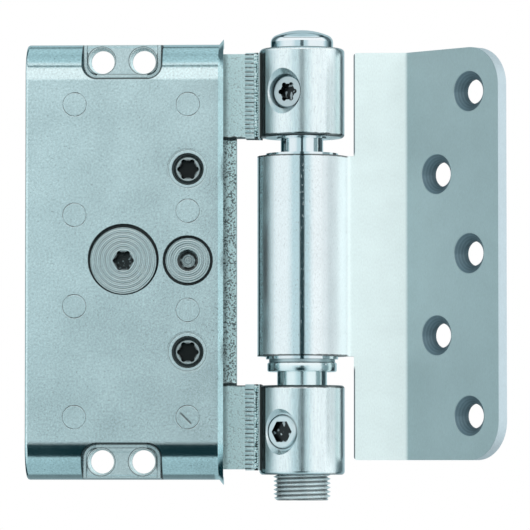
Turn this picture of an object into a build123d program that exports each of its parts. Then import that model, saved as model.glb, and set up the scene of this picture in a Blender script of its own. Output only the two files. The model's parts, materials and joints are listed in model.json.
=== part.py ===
from build123d import *
import os
from math import cos, radians, sin, tan

os.makedirs("parts", exist_ok=True)

# A three-part barrel hinge for a heavy door, with a receiver that is let into the frame.
# Z is the pin axis and the origin is the middle of the knuckle stack. X runs from the receiver
# towards the leaf. The side that is seen faces -Y, so a distance in front of the axis is -Y.
# All sizes are in millimetres.

# Running and seating clearances
running_gap = 0.05
face_gap = 0.05
loose_gap = 0.3

# Knuckle stack and pin
stack_length = 100.0
knuckle_length = 20.9
knuckle_r = 10.0
knuckle_edge_r = 0.8
pin_r = 5.0
pin_end_chamfer = 0.8
sleeve_wall = 1.0
sleeve_proud = 0.3
head_r = 7.35
head_side = 2.7
head_height = 4.5
head_shoulder_r = 1.8

# Set screws in the outer knuckles
set_screw_r = 4.0
upper_screw_turn = 25.5
lower_screw_turn = 30.0
lower_screw_drop = 0.45
set_screw_socket = 4.8
set_screw_edge = 0.5
upper_screw_face = 7.3
upper_socket_depth = 1.8
lower_screw_face = 9.0
lower_socket_depth = 1.3
groove_depth = 0.8
upper_mouth_r = 6.4
lower_mouth_r = 5.9
mouth_width = 1.35

# Height bush and thrust washer
thread_r = 6.7
thread_gap = 0.1
thread_chamfer = 0.7
neck_r = 5.85
collar_r = 8.15
collar_thickness = 2.2
collar_edge_r = 0.4
stud_below = 6.0
lift_travel = 3.0
bush_socket = 6.0
bush_socket_depth = 4.5
bush_floor = 1.6
washer_r = 7.75
washer_thickness = 0.65

# Leaf: one sheet, rolled at the pin and bent towards the viewer
leaf_sheet = 3.0
barrel_r = 10.5
leaf_reach = 24.3
barrel_gap_above = 4.4
barrel_gap_below = 6.8
barrel_root_r = 1.6
seam_width = 0.35
tab_left = 12.2
tab_corner_r = 0.8
crease_x = 24.65
bend_inner_r = 1.0
bend_angle = 42.5
panel_length = 28.65
panel_corner_r = 9.0
leaf_hole_r = 2.85
leaf_sink_r = 4.75
leaf_hole_margin = 10.2
outer_column = 19.6
inner_column = 9.4

# Flanged bushes in the rolled knuckle
bearing_flange_r = 8.5
bearing_flange_thickness = 0.65
bearing_length = 14.0

# Carrier: a plate with two arms, thinner between the arms
carrier_front = 2.5
carrier_back = 2.5
carrier_left = -46.6
carrier_step_x = -30.4
carrier_waist_gap = 0.3
carrier_corner_r = 1.5
arm_clearance = 0.95
web_right = -15.4
web_corner_r = 1.75
web_recess = 1.0
web_step_land = 0.1
arm_gap = 0.7
carrier_travel = 2.0

# Weld beads between the arms and the knuckles
weld_reach = 3.2
weld_overlap = 0.7
weld_crown = 1.0
weld_hollow = 0.3
weld_rise = 0.25

# Receiver: bent cover, base plate, fixing blocks
cover_front = 7.5
receiver_back = 4.8
cover_overhang = 1.2
cover_sheet = 1.5
cover_bend_r = 7.5
cover_left = -64.6
cover_end_r = 0.7
mouth_x = -18.1
lip_length = 1.3
lip_flare = 1.6
mouth_slant = 2.0
base_thickness = 2.0
base_margin = 0.8
base_setback = 1.8
notch_x = -41.95
notch_width = 18.8
notch_depth = 8.6
notch_corner_r = 3.5
notch_gap = 0.2
block_recess = 2.0
block_edge = 0.3
block_pad_inset = 0.9
block_pad_rise = 0.5
block_slope = 0.5
block_lip = 1.8
block_lip_thickness = 1.5
fixing_bore_r = 3.15
fixing_bore_depth = 3.4
fixing_hole_r = 2.74
fixing_seat_thickness = 1.5
fixing_relief_r = 3.65
fixing_spacing_x = 9.7
fixing_inset = 4.2

# Riveted spacer posts
left_rivet_x = -53.0
right_rivet_x = -26.45
rivet_r = 2.75
post_r = 3.6
outer_rivet_inset = 14.6
left_inner_rivet_z = 10.7
right_inner_rivet_z = 11.6

# Guide pin, clamp screws and their threaded inserts
guide_r = 5.2
guide_hole_gap = 0.7
guide_flange_r = 6.2
guide_flange_thickness = 1.0
guide_tail_r = 4.0
guide_recess = 0.4
guide_socket_r = 2.5
guide_socket_end_r = 1.8
guide_socket_depth = 2.2
clamp_z = 21.4
clamp_screw_r = 3.25
clamp_socket = 5.1
clamp_socket_depth = 2.4
clamp_screw_recess = 0.8
insert_r = 4.75
insert_mouth_r = 3.75
insert_mouth_depth = 1.1
insert_flange_r = 6.2
insert_flange_thickness = 2.2

# Eccentric adjuster
adjuster_clearance = 0.1
adjuster_r = 7.75
adjuster_hole_gap = 0.6
adjuster_hole_lift = 0.3
adjuster_recess = 0.4
adjuster_flange_r = 8.8
adjuster_socket = 5.0
adjuster_socket_depth = 3.0
adjuster_axial_gap = 0.15
eccentricity = 2.377
eccentric_r = 2.5
eccentric_gap = 0.25

# Star sockets, as shares of their width
star_core = 0.39
star_lobe = 0.12

# Values that follow from the ones above
outer_face = stack_length / 2
inner_face = outer_face - knuckle_length
knuckle_middle = (outer_face + inner_face) / 2
sleeve_r = pin_r + sleeve_wall
dome_height = head_height - head_side
dome_r = (head_r**2 + dome_height**2) / (2 * dome_height)
barrel_bore_r = barrel_r - leaf_sheet
barrel_top = inner_face - barrel_gap_above
barrel_bottom = -inner_face + barrel_gap_below
barrel_length = barrel_top - barrel_bottom
leaf_rise = (barrel_top + barrel_bottom) / 2
leaf_height = barrel_length + 2 * leaf_reach
leaf_hole_pitch = (leaf_height / 2 - leaf_hole_margin) / 2
running_bore_r = pin_r + running_gap
washer_top = barrel_bottom - bearing_flange_thickness - face_gap
collar_top = washer_top - washer_thickness - face_gap
collar_bottom = collar_top - collar_thickness
thread_top = -inner_face - lift_travel - loose_gap
lower_screw_z = -knuckle_middle - lower_screw_drop
bush_end = -outer_face - stud_below
bush_bore_end = bush_end + bush_socket_depth + bush_floor
pin_end = bush_bore_end + lift_travel + loose_gap
web_front = carrier_front - web_recess
arm_end = -knuckle_r - arm_gap
weld_left = -knuckle_r - weld_reach
weld_right = -knuckle_r + weld_overlap
adjuster_x = right_rivet_x - guide_flange_r - adjuster_clearance - adjuster_flange_r
web_step_r = web_recess - web_step_land
inner_front = cover_front - cover_sheet
inner_back = receiver_back - base_thickness
cover_half = outer_face + cover_overhang
arm_top = cover_half - cover_sheet - arm_clearance
notch_edge = cover_half - notch_depth
carrier_waist = notch_edge - carrier_waist_gap
lip_start = mouth_x - lip_length
post_slot_width = 2 * (post_r + loose_gap)
guide_slot_width = 2 * (guide_r + loose_gap)

outer_rivet_z = cover_half - outer_rivet_inset
right_posts = [(right_rivet_x, side * z) for z in (right_inner_rivet_z, outer_rivet_z) for side in (-1, 1)]
left_posts = [(left_rivet_x, side * z) for z in (left_inner_rivet_z, outer_rivet_z) for side in (-1, 1)]
fixing_z = cover_half - fixing_inset
fixing_x = (notch_x - fixing_spacing_x / 2, notch_x + fixing_spacing_x / 2)


def in_front(distance):
    """The plane at a distance in front of the pin axis: its x is X, its y is Z, it faces the viewer."""
    return Plane.XZ.offset(distance)


def screw_plane(z, turn, distance=0):
    """A plane that faces out along a set screw at a height, at a distance from the pin axis."""
    along_x, along_y = -sin(radians(turn)), -cos(radians(turn))
    plane = Plane(origin=(0, 0, z), x_dir=(-along_y, along_x, 0), z_dir=(along_x, along_y, 0))
    return plane.offset(distance)


def hexagon(width):
    """A hexagon socket's outline, measured across its flats."""
    RegularPolygon(width / 2, 6, major_radius=False)


def star(width):
    """A star socket's outline: a core and six lobes."""
    Circle(star_core * width)
    with PolarLocations((0.5 - star_lobe) * width, 6):
        Circle(star_lobe * width)


# Hinge pin: plain shank, domed head, a groove where the set screw bites
with BuildPart() as hinge_pin:
    with BuildSketch(Plane.XZ) as pin_section:
        with BuildLine():
            Polyline((0, outer_face + head_height), (0, pin_end), (pin_r, pin_end), (pin_r, outer_face),
                     (head_r, outer_face), (head_r, outer_face + head_side))
            RadiusArc((head_r, outer_face + head_side), (0, outer_face + head_height), -dome_r)
        make_face()
        shoulder = pin_section.vertices().sort_by(Axis.X)[-2:].sort_by(Axis.Y)[-1]
        fillet(shoulder, head_shoulder_r)
    revolve(axis=Axis.Z)
    chamfer(hinge_pin.edges().filter_by(GeomType.CIRCLE).sort_by(Axis.Z)[0], pin_end_chamfer)
    with BuildSketch(Plane.XZ):
        with Locations((pin_r, knuckle_middle)):
            Rectangle(2 * groove_depth, 2 * (set_screw_r + loose_gap))
    revolve(axis=Axis.Z, mode=Mode.SUBTRACT)
hinge_pin.part.label = "hinge_pin"
export_step(hinge_pin.part, "parts/hinge_pin.step")

# Sleeve between the pin and the upper knuckle, drilled for the set screw
with BuildPart() as pin_sleeve:
    with BuildSketch(Plane.XY.offset(inner_face - sleeve_proud)):
        Circle(sleeve_r)
        Circle(running_bore_r, mode=Mode.SUBTRACT)
    extrude(amount=knuckle_length + sleeve_proud)
    with BuildSketch(screw_plane(knuckle_middle, upper_screw_turn)):
        Circle(set_screw_r + running_gap)
    extrude(amount=sleeve_r + 1, mode=Mode.SUBTRACT)
pin_sleeve.part.label = "pin_sleeve"
export_step(pin_sleeve.part, "parts/pin_sleeve.step")


def outer_knuckle(bottom, bore_r, screw_z, turn, mouth_r):
    """A turned knuckle with its bore, rounded end edges and the set screw's chamfered hole."""
    with BuildPart() as knuckle:
        with BuildSketch(Plane.XY.offset(bottom)):
            Circle(knuckle_r)
        extrude(amount=knuckle_length)
        fillet(knuckle.edges().filter_by(GeomType.CIRCLE), knuckle_edge_r)
        with BuildSketch(Plane.XY.offset(bottom)):
            Circle(bore_r)
        extrude(amount=knuckle_length, mode=Mode.SUBTRACT)
        with BuildSketch(screw_plane(screw_z, turn)):
            Circle(set_screw_r + running_gap)
        extrude(amount=knuckle_r + 1, mode=Mode.SUBTRACT)
        cone_depth = mouth_r - set_screw_r
        with BuildSketch(screw_plane(screw_z, turn, knuckle_r - mouth_width)):
            Circle(set_screw_r)
        with BuildSketch(screw_plane(screw_z, turn, knuckle_r - mouth_width + cone_depth)):
            Circle(mouth_r)
        loft(mode=Mode.SUBTRACT)
    return knuckle


upper_knuckle = outer_knuckle(inner_face, sleeve_r, knuckle_middle, upper_screw_turn, upper_mouth_r)
upper_knuckle.part.label = "upper_knuckle"
export_step(upper_knuckle.part, "parts/upper_knuckle.step")

lower_bore_r = thread_r + thread_gap
lower_knuckle = outer_knuckle(-outer_face, lower_bore_r, lower_screw_z, lower_screw_turn, lower_mouth_r)
lower_knuckle.part.label = "lower_knuckle"
export_step(lower_knuckle.part, "parts/lower_knuckle.step")


def set_screw(z, turn, tip, face, socket, socket_depth):
    """A headless screw from its tip to its socket face, along the screw's plane."""
    with BuildPart() as screw:
        with BuildSketch(screw_plane(z, turn, tip)):
            Circle(set_screw_r)
        extrude(amount=face - tip)
        chamfer(screw.edges().filter_by(GeomType.CIRCLE), set_screw_edge)
        with BuildSketch(screw_plane(z, turn, face)):
            socket(set_screw_socket)
        extrude(amount=-socket_depth, mode=Mode.SUBTRACT)
    return screw


upper_screw_tip = pin_r - groove_depth + face_gap
upper_set_screw = set_screw(knuckle_middle, upper_screw_turn, upper_screw_tip, upper_screw_face, star,
                            upper_socket_depth)
upper_set_screw.part.label = "upper_set_screw"
export_step(upper_set_screw.part, "parts/upper_set_screw.step")

lower_screw_tip = thread_r + loose_gap
lower_set_screw = set_screw(lower_screw_z, lower_screw_turn, lower_screw_tip, lower_screw_face, hexagon,
                            lower_socket_depth)
lower_set_screw.part.label = "lower_set_screw"
export_step(lower_set_screw.part, "parts/lower_set_screw.step")

# Height bush: collar under the leaf, neck, thread in the lower knuckle, tool socket below
with BuildPart() as height_bush:
    with BuildSketch(Plane.XZ):
        with BuildLine():
            Polyline((running_bore_r, collar_top), (collar_r, collar_top), (collar_r, collar_bottom),
                     (neck_r, collar_bottom), (neck_r, thread_top),
                     (thread_r, thread_top - (thread_r - neck_r)), (thread_r, bush_end), (0, bush_end),
                     (0, bush_bore_end), (running_bore_r, bush_bore_end), close=True)
        make_face()
    revolve(axis=Axis.Z)
    rim = height_bush.edges().filter_by(GeomType.CIRCLE)
    chamfer(rim.sort_by(Axis.Z)[0], thread_chamfer)
    fillet(rim.filter_by(lambda edge: edge.radius > thread_r + 1), collar_edge_r)
    with BuildSketch(Plane.XY.offset(bush_end)):
        RegularPolygon(bush_socket / 2, 6, major_radius=False)
    extrude(amount=bush_socket_depth, mode=Mode.SUBTRACT)
height_bush.part.label = "height_bush"
export_step(height_bush.part, "parts/height_bush.step")

# Thrust washer between the collar and the leaf's lower bush
with BuildPart() as thrust_washer:
    with BuildSketch(Plane.XY.offset(washer_top - washer_thickness)):
        Circle(washer_r)
        Circle(running_bore_r, mode=Mode.SUBTRACT)
    extrude(amount=washer_thickness)
thrust_washer.part.label = "thrust_washer"
export_step(thrust_washer.part, "parts/thrust_washer.step")

# Leaf: the sheet's section, rolled round the pin, then its outline, corners and holes
bend = radians(bend_angle)
half_sheet = leaf_sheet / 2
panel_along = Vector(cos(bend), -sin(bend), 0)
panel_out = Vector(-sin(bend), -cos(bend), 0)
front_crease = Vector(crease_x, -half_sheet, 0)
middle_crease = front_crease - panel_out * half_sheet
bend_point = Vector(middle_crease.X - middle_crease.Y / panel_along.Y * panel_along.X, 0, 0)
panel_end = front_crease + panel_along * panel_length - panel_out * half_sheet
panel_plane = Plane(origin=front_crease + Vector(0, 0, leaf_rise), x_dir=panel_along, z_dir=panel_out)
sheet_start = barrel_bore_r + half_sheet

with BuildPart() as leaf:
    with BuildSketch(Plane.XY.offset(leaf_rise - leaf_height / 2)) as leaf_section:
        with BuildLine():
            FilletPolyline((sheet_start, 0), (bend_point.X, 0), (panel_end.X, panel_end.Y),
                           radius=bend_inner_r + half_sheet)
        trace(line_width=leaf_sheet)
        Circle(barrel_r)
        Circle(barrel_bore_r, mode=Mode.SUBTRACT)
        on_barrel = leaf_section.vertices().filter_by(lambda v: abs(v.X**2 + v.Y**2 - barrel_r**2) < 0.01)
        root = on_barrel.filter_by(lambda v: v.X > 0)
        fillet(root.sort_by(Axis.Y)[0], barrel_root_r)
        with Locations((barrel_r - half_sheet, half_sheet + seam_width / 2)):
            Rectangle(leaf_sheet + 1, seam_width, mode=Mode.SUBTRACT)
    extrude(amount=leaf_height)
    leaf_top = leaf_rise + leaf_height / 2
    leaf_bottom = leaf_rise - leaf_height / 2
    for bottom, top in ((barrel_top, leaf_top), (leaf_bottom, barrel_bottom)):
        with BuildSketch(in_front(barrel_r)):
            with Locations(((tab_left - barrel_r) / 2, (bottom + top) / 2)):
                Rectangle(tab_left + barrel_r, top - bottom)
        extrude(amount=-2 * barrel_r, mode=Mode.SUBTRACT)
    tab_edges = leaf.edges().filter_by(Axis.Y).group_by(Axis.X)
    tab_corners = [e for group in tab_edges for e in group if abs(e.center().X - tab_left) < 0.01
                   and abs(e.center().Z - leaf_rise) > leaf_height / 2 - 0.01]
    fillet(tab_corners, tab_corner_r)
    across = Axis((0, 0, 0), panel_out)
    outer_corners = leaf.edges().filter_by(across).sort_by(Axis.X)[-2:]
    fillet(outer_corners, panel_corner_r)
    outer_places = [(outer_column, row * leaf_hole_pitch) for row in (-2, 0, 2)]
    inner_places = [(inner_column, row * leaf_hole_pitch) for row in (-1, 1)]
    for along, up in outer_places + inner_places:
        with Locations(panel_plane.location * Location((along, up, 0))):
            CounterSinkHole(leaf_hole_r, leaf_sink_r, depth=leaf_sheet, counter_sink_angle=90)
leaf.part.label = "leaf"
export_step(leaf.part, "parts/leaf.step")


def bearing_bush(end, inward):
    """A flanged bush pressed into one end of the rolled knuckle; inward is +1 or -1 along Z."""
    with BuildPart() as bush:
        with BuildSketch(Plane.XY.offset(end)):
            Circle(barrel_bore_r)
        extrude(amount=inward * bearing_length)
        with BuildSketch(Plane.XY.offset(end)):
            Circle(bearing_flange_r)
        extrude(amount=-inward * bearing_flange_thickness)
        with BuildSketch(Plane.XY.offset(end - inward * bearing_flange_thickness)):
            Circle(running_bore_r)
        extrude(amount=inward * (bearing_length + bearing_flange_thickness), mode=Mode.SUBTRACT)
    return bush


upper_bearing_bush = bearing_bush(barrel_top, -1)
upper_bearing_bush.part.label = "upper_bearing_bush"
export_step(upper_bearing_bush.part, "parts/upper_bearing_bush.step")

lower_bearing_bush = bearing_bush(barrel_bottom, 1)
lower_bearing_bush.part.label = "lower_bearing_bush"
export_step(lower_bearing_bush.part, "parts/lower_bearing_bush.step")

# Carrier plate: outline, slots for the posts, the guide pin and the eccentric, thinner web
with BuildPart() as carrier_plate:
    with BuildSketch(in_front(-carrier_back)) as carrier_outline:
        with BuildLine():
            Polyline((carrier_left, carrier_waist), (carrier_step_x, carrier_waist),
                     (carrier_step_x, arm_top), (arm_end, arm_top), (arm_end, inner_face),
                     (web_right, inner_face), (web_right, -inner_face), (arm_end, -inner_face),
                     (arm_end, -arm_top), (carrier_step_x, -arm_top), (carrier_step_x, -carrier_waist),
                     (carrier_left, -carrier_waist), close=True)
        make_face()
        corners = carrier_outline.vertices()
        fillet(corners.filter_by(lambda v: v.X < carrier_step_x + 1), carrier_corner_r)
        fillet(corners.filter_by(lambda v: abs(v.X - web_right) < 0.01), web_corner_r)
        with Locations(right_posts):
            SlotCenterToCenter(2 * carrier_travel, post_slot_width, mode=Mode.SUBTRACT)
        with Locations((right_rivet_x, 0)):
            SlotCenterToCenter(2 * carrier_travel, guide_slot_width, mode=Mode.SUBTRACT)
        with Locations((adjuster_x, 0)):
            slot_width = 2 * (eccentric_r + eccentric_gap)
            SlotCenterToCenter(2 * eccentricity, slot_width, rotation=90, mode=Mode.SUBTRACT)
    extrude(amount=carrier_back + carrier_front)
    with BuildSketch(Plane.YZ.offset(web_right)) as step_section:
        with Locations((-(web_front + carrier_front) / 2, 0)):
            Rectangle(web_recess, 2 * inner_face)
        fillet(step_section.vertices().group_by(Axis.X)[-1], web_step_r)
    extrude(amount=-(web_right - carrier_left), mode=Mode.SUBTRACT)
carrier_plate.part.label = "carrier_plate"
export_step(carrier_plate.part, "parts/carrier_plate.step")


def weld_bead(bottom, top):
    """A bead that fills the gap between an arm and its knuckle and stands proud of both faces."""
    with BuildPart() as bead:
        with BuildSketch(Plane.XY.offset(bottom - weld_rise)):
            for side in (-1, 1):
                face = side * carrier_front
                with BuildLine():
                    crown = face + side * weld_crown
                    hollow = ((weld_left + weld_right) / 2, face + side * weld_hollow * weld_crown)
                    ThreePointArc((weld_left, face), hollow, (weld_right, crown))
                    Polyline((weld_right, crown), (weld_right, 0), (arm_end, 0),
                             (arm_end, face), (weld_left, face))
                make_face()
            Circle(knuckle_r, mode=Mode.SUBTRACT)
        extrude(amount=top - bottom + 2 * weld_rise)
    return bead


upper_weld = weld_bead(inner_face, arm_top)
upper_weld.part.label = "upper_weld"
export_step(upper_weld.part, "parts/upper_weld.step")

lower_weld = weld_bead(-arm_top, -inner_face)
lower_weld.part.label = "lower_weld"
export_step(lower_weld.part, "parts/lower_weld.step")


def cover_section(x, spread):
    """The cover's bent sheet in section at X, with its outline spread outwards."""
    half = cover_half + spread
    with BuildSketch(Plane.YZ.offset(x)) as section:
        with BuildLine():
            front = -cover_front - spread
            FilletPolyline((receiver_back, -half), (front, -half), (front, half), (receiver_back, half),
                           radius=cover_bend_r + spread)
            offset(amount=cover_sheet, side=Side.RIGHT)
        make_face()
    return section.sketch


def notch_outline(side, grow, outer_z):
    """The D-shaped notch at the top (side 1) or bottom (side -1), grown all round, out to a height."""
    inner_z = notch_edge - grow
    with BuildSketch(in_front(0)) as outline:
        with Locations((notch_x, side * (inner_z + outer_z) / 2)):
            Rectangle(notch_width + 2 * grow, outer_z - inner_z)
        fillet(outline.vertices().group_by(Axis.Y)[0 if side == 1 else -1], notch_corner_r + grow)
    return outline.sketch


# Receiver cover: bent sheet, flared lip, notches and holes
with BuildPart() as receiver_cover:
    extrude(cover_section(cover_left, 0), amount=lip_start - cover_left, dir=(1, 0, 0))
    loft([cover_section(lip_start, 0).face(), cover_section(mouth_x, lip_flare).face()], ruled=True)
    lip_front = -cover_front - lip_flare
    slant_back = mouth_x - (receiver_back - lip_front) * tan(radians(mouth_slant))
    with BuildSketch(Plane.XY.offset(-cover_half - lip_length - lip_flare)):
        with BuildLine():
            past_x = mouth_x + lip_length
            Polyline((mouth_x, lip_front), (slant_back, receiver_back), (past_x, receiver_back),
                     (past_x, lip_front), close=True)
        make_face()
    extrude(amount=2 * (cover_half + lip_length + lip_flare), mode=Mode.SUBTRACT)
    end_edges = receiver_cover.edges().group_by(Axis.X)[0]
    outside = [e for e in end_edges
               if (e.geom_type == GeomType.CIRCLE and e.radius > cover_bend_r - cover_sheet / 2)
               or abs(e.center().Z) > cover_half - 0.01
               or e.center().Y < -cover_front + 0.01]
    fillet(outside, cover_end_r)
    for side in (1, -1):
        notch = notch_outline(side, 0, cover_half + 1)
        extrude(notch, amount=cover_front + receiver_back, dir=(0, 1, 0), both=True, mode=Mode.SUBTRACT)
    with BuildSketch(in_front(cover_front)):
        with Locations(left_posts + right_posts):
            Circle(rivet_r + running_gap)
        with Locations((right_rivet_x, 0)):
            Circle(guide_r + guide_hole_gap)
        with Locations((adjuster_x, adjuster_hole_lift)):
            Circle(adjuster_r + adjuster_hole_gap)
        with Locations((right_rivet_x, clamp_z), (right_rivet_x, -clamp_z)):
            Circle(insert_r + running_gap)
    extrude(amount=-2 * cover_sheet, mode=Mode.SUBTRACT)
receiver_cover.part.label = "receiver_cover"
export_step(receiver_cover.part, "parts/receiver_cover.step")

# Receiver base: flat plate between the cover's walls
with BuildPart() as receiver_base:
    base_left = cover_left + base_margin
    base_right = mouth_x - base_setback
    base_height = 2 * (cover_half - cover_sheet - face_gap)
    with BuildSketch(in_front(-receiver_back)):
        with Locations(((base_left + base_right) / 2, 0)):
            Rectangle(base_right - base_left, base_height)
        with Locations(left_posts + right_posts):
            Circle(rivet_r + running_gap, mode=Mode.SUBTRACT)
        with Locations((right_rivet_x, 0)):
            Circle(guide_tail_r + running_gap, mode=Mode.SUBTRACT)
        with Locations([(x, z) for x in fixing_x for z in (-fixing_z, fixing_z)]):
            Circle(fixing_relief_r, mode=Mode.SUBTRACT)
    extrude(amount=base_thickness)
receiver_base.part.label = "receiver_base"
export_step(receiver_base.part, "parts/receiver_base.step")


def fixing_block(side):
    """A stepped pad that fills a notch, hooks behind the cover and takes two frame screws."""
    pad_face = cover_front - block_recess
    seat_face = pad_face - fixing_bore_depth
    with BuildPart() as block:
        outline = notch_outline(side, -notch_gap, cover_half)
        pad = notch_outline(side, -notch_gap - block_pad_inset, cover_half - block_pad_inset)
        body_face = pad_face - block_pad_rise
        extrude(outline, amount=body_face, dir=(0, -1, 0))
        front = block.faces().sort_by(Axis.Y)[0]
        outer_edge = front.edges().sort_by(Axis.Z)[-1 if side == 1 else 0]
        chamfer(outer_edge, block_slope, body_face - loose_gap, reference=front)
        extrude(pad, amount=pad_face, dir=(0, -1, 0))
        front_rim = block.edges().group_by(Axis.Y)[0]
        chamfer(front_rim, block_edge)
        extrude(outline, amount=inner_back, dir=(0, 1, 0))
        with BuildSketch(in_front(inner_front - face_gap)):
            with Locations((notch_x, side * (notch_edge + notch_gap))):
                Rectangle(notch_width - 2 * notch_corner_r, 2 * block_lip)
        extrude(amount=-block_lip_thickness)
        for radius, start, end in ((fixing_bore_r, seat_face, cover_front),
                                   (fixing_hole_r, seat_face - fixing_seat_thickness, seat_face),
                                   (fixing_relief_r, -receiver_back, seat_face - fixing_seat_thickness)):
            with BuildSketch(in_front(start)):
                with Locations([(x, side * fixing_z) for x in fixing_x]):
                    Circle(radius)
            extrude(amount=end - start, mode=Mode.SUBTRACT)
    return block


upper_fixing_block = fixing_block(1)
upper_fixing_block.part.label = "upper_fixing_block"
export_step(upper_fixing_block.part, "parts/upper_fixing_block.step")

lower_fixing_block = fixing_block(-1)
lower_fixing_block.part.label = "lower_fixing_block"
export_step(lower_fixing_block.part, "parts/lower_fixing_block.step")

# Rivet posts: eight spacers, riveted flush with the cover in front and the base behind
with BuildPart() as rivet_posts:
    for radius, start, end in ((rivet_r, -receiver_back, cover_front), (post_r, -inner_back, inner_front)):
        with BuildSketch(in_front(start)):
            with Locations(left_posts + right_posts):
                Circle(radius)
        extrude(amount=end - start)
rivet_posts.part.label = "rivet_posts"
export_step(rivet_posts.part, "parts/rivet_posts.step")

# Guide pin: centred head in the cover, flange behind it, shank in the carrier's slot, tail in the base
with BuildPart() as guide_pin:
    guide_face = cover_front - guide_recess
    flange_face = inner_front - face_gap
    for radius, start, end in ((guide_tail_r, -receiver_back, -inner_back),
                               (guide_r, -inner_back, guide_face),
                               (guide_flange_r, flange_face - guide_flange_thickness, flange_face)):
        with BuildSketch(in_front(start)):
            with Locations((right_rivet_x, 0)):
                Circle(radius)
        extrude(amount=end - start)
    for radius, depth in ((guide_socket_r, 0), (guide_socket_end_r, guide_socket_depth)):
        with BuildSketch(in_front(guide_face - depth)):
            with Locations((right_rivet_x, 0)):
                Circle(radius)
    loft(mode=Mode.SUBTRACT)
guide_pin.part.label = "guide_pin"
export_step(guide_pin.part, "parts/guide_pin.step")


def clamp_insert(z):
    """A flanged threaded insert behind the cover, flush in front, for a clamp screw."""
    with BuildPart() as insert:
        with BuildSketch(in_front(cover_front)):
            with Locations((right_rivet_x, z)):
                Circle(insert_r)
        extrude(amount=-cover_sheet)
        with BuildSketch(in_front(inner_front)):
            with Locations((right_rivet_x, z)):
                Circle(insert_flange_r)
        extrude(amount=-insert_flange_thickness)
        for radius, depth in ((insert_mouth_r, insert_mouth_depth),
                              (clamp_screw_r + running_gap, cover_sheet + insert_flange_thickness)):
            with BuildSketch(in_front(cover_front)):
                with Locations((right_rivet_x, z)):
                    Circle(radius)
            extrude(amount=-depth, mode=Mode.SUBTRACT)
    return insert


def clamp_screw(z):
    """A headless socket screw that bears on the carrier's web through the insert."""
    face = cover_front - clamp_screw_recess
    with BuildPart() as screw:
        with BuildSketch(in_front(face)):
            with Locations((right_rivet_x, z)):
                Circle(clamp_screw_r)
        extrude(amount=-(face - web_front - loose_gap))
        chamfer(screw.edges().filter_by(GeomType.CIRCLE), set_screw_edge)
        with BuildSketch(in_front(face)):
            with Locations((right_rivet_x, z)):
                star(clamp_socket)
        extrude(amount=-clamp_socket_depth, mode=Mode.SUBTRACT)
    return screw


upper_clamp_nut = clamp_insert(clamp_z)
upper_clamp_nut.part.label = "upper_clamp_nut"
export_step(upper_clamp_nut.part, "parts/upper_clamp_nut.step")

lower_clamp_nut = clamp_insert(-clamp_z)
lower_clamp_nut.part.label = "lower_clamp_nut"
export_step(lower_clamp_nut.part, "parts/lower_clamp_nut.step")

upper_clamp_screw = clamp_screw(clamp_z)
upper_clamp_screw.part.label = "upper_clamp_screw"
export_step(upper_clamp_screw.part, "parts/upper_clamp_screw.step")

lower_clamp_screw = clamp_screw(-clamp_z)
lower_clamp_screw.part.label = "lower_clamp_screw"
export_step(lower_clamp_screw.part, "parts/lower_clamp_screw.step")

# Eccentric adjuster: disc in the cover, flange behind it, off-centre pin in the carrier's slot
with BuildPart() as eccentric_adjuster:
    adjuster_face = cover_front - adjuster_recess
    flange_front = inner_front - adjuster_axial_gap
    flange_back = web_front + adjuster_axial_gap
    for radius, start, end in ((adjuster_r, flange_back, adjuster_face),
                               (adjuster_flange_r, flange_back, flange_front)):
        with BuildSketch(in_front(start)):
            with Locations((adjuster_x, 0)):
                Circle(radius)
        extrude(amount=end - start)
    with BuildSketch(in_front(-inner_back + loose_gap)):
        with Locations((adjuster_x, eccentricity)):
            Circle(eccentric_r)
    extrude(amount=flange_back + inner_back - loose_gap)
    with BuildSketch(in_front(adjuster_face)):
        with Locations((adjuster_x, 0)):
            star(adjuster_socket)
    extrude(amount=-adjuster_socket_depth, mode=Mode.SUBTRACT)
eccentric_adjuster.part.label = "eccentric_adjuster"
export_step(eccentric_adjuster.part, "parts/eccentric_adjuster.step")
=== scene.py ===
# %% [markdown]
# A three-part barrel hinge in bright zinc
#
# The real hinge holds a heavy door. A flat receiver is let into the frame, a slotted plate slides
# in it and carries two welded knuckles, and a bent leaf with a rolled knuckle turns on the pin.
# The solids already have their true form, so this lesson is about light, about plated metal, and
# about the small repeated forms that a workshop leaves: a thread and the ripples of a weld.

# %% Load the frame
import json
from math import cos, pi, radians, sin, sqrt, tau

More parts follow.
